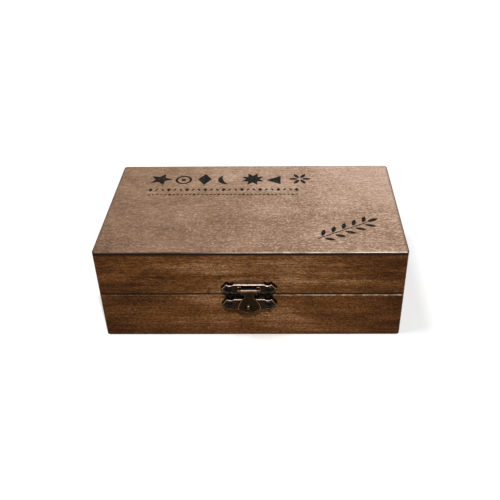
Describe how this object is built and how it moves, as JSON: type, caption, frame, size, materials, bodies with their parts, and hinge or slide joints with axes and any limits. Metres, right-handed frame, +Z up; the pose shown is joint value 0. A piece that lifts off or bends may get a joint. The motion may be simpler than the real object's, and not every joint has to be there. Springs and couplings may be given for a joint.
{
  "type": "wooden stamp box",
  "caption": "Low stained wooden box with a lid hinged along the back and a hinged snap latch on a stud at the front.",
  "frame": {"origin": "centre of the underside of the wooden case", "axes": "+X along the box's length to the right, -Y out of its latch side, +Z up"},
  "size_m": [0.15, 0.0937, 0.0515],
  "materials": {
    "stained_board": "brown stain, rubbed edges, satin",
    "stained_panel": "thin ply, brown stain, satin",
    "top_panel": "thin ply, lighter worn brown stain with a dark edge, satin",
    "antique_bronze": "pressed sheet, dark antique bronze rubbed to copper on its edges",
    "dark_steel": "darkened steel"
  },
  "bodies": {
    "base": {"base_front_board": "stained_board", "base_back_board": "stained_board", "base_left_board": "stained_board", "base_right_board": "stained_board", "bottom_panel": "stained_panel", "latch_catch_plate": "antique_bronze", "catch_stud": "antique_bronze", "catch_plate_screws": "dark_steel", "left_hinge_base_leaf": "antique_bronze", "left_hinge_pin": "dark_steel", "left_hinge_base_screws": "dark_steel", "right_hinge_base_leaf": "antique_bronze", "right_hinge_pin": "dark_steel", "right_hinge_base_screws": "dark_steel"},
    "lid": {"lid_front_board": "stained_board", "lid_back_board": "stained_board", "lid_left_board": "stained_board", "lid_right_board": "stained_board", "lid_top_panel": "top_panel", "latch_hinge_plate": "antique_bronze", "latch_pin": "dark_steel", "hinge_plate_screws": "dark_steel", "left_hinge_lid_leaf": "antique_bronze", "left_hinge_lid_screws": "dark_steel", "right_hinge_lid_leaf": "antique_bronze", "right_hinge_lid_screws": "dark_steel"},
    "tongue": {"latch_tongue": "antique_bronze"}
  },
  "joints": [
    {"name": "lid_hinge", "type": "hinge", "parent": "base", "child": "lid", "pos_m": [0, 0.04445, 0.0266], "axis": [-1, 0, 0], "range_deg": [0, 180]},
    {"name": "latch_pivot", "type": "hinge", "parent": "lid", "child": "tongue", "pos_m": [-0.001, -0.0467, 0.03125], "axis": [-1, 0, 0], "range_deg": [0, 180]}
  ]
}
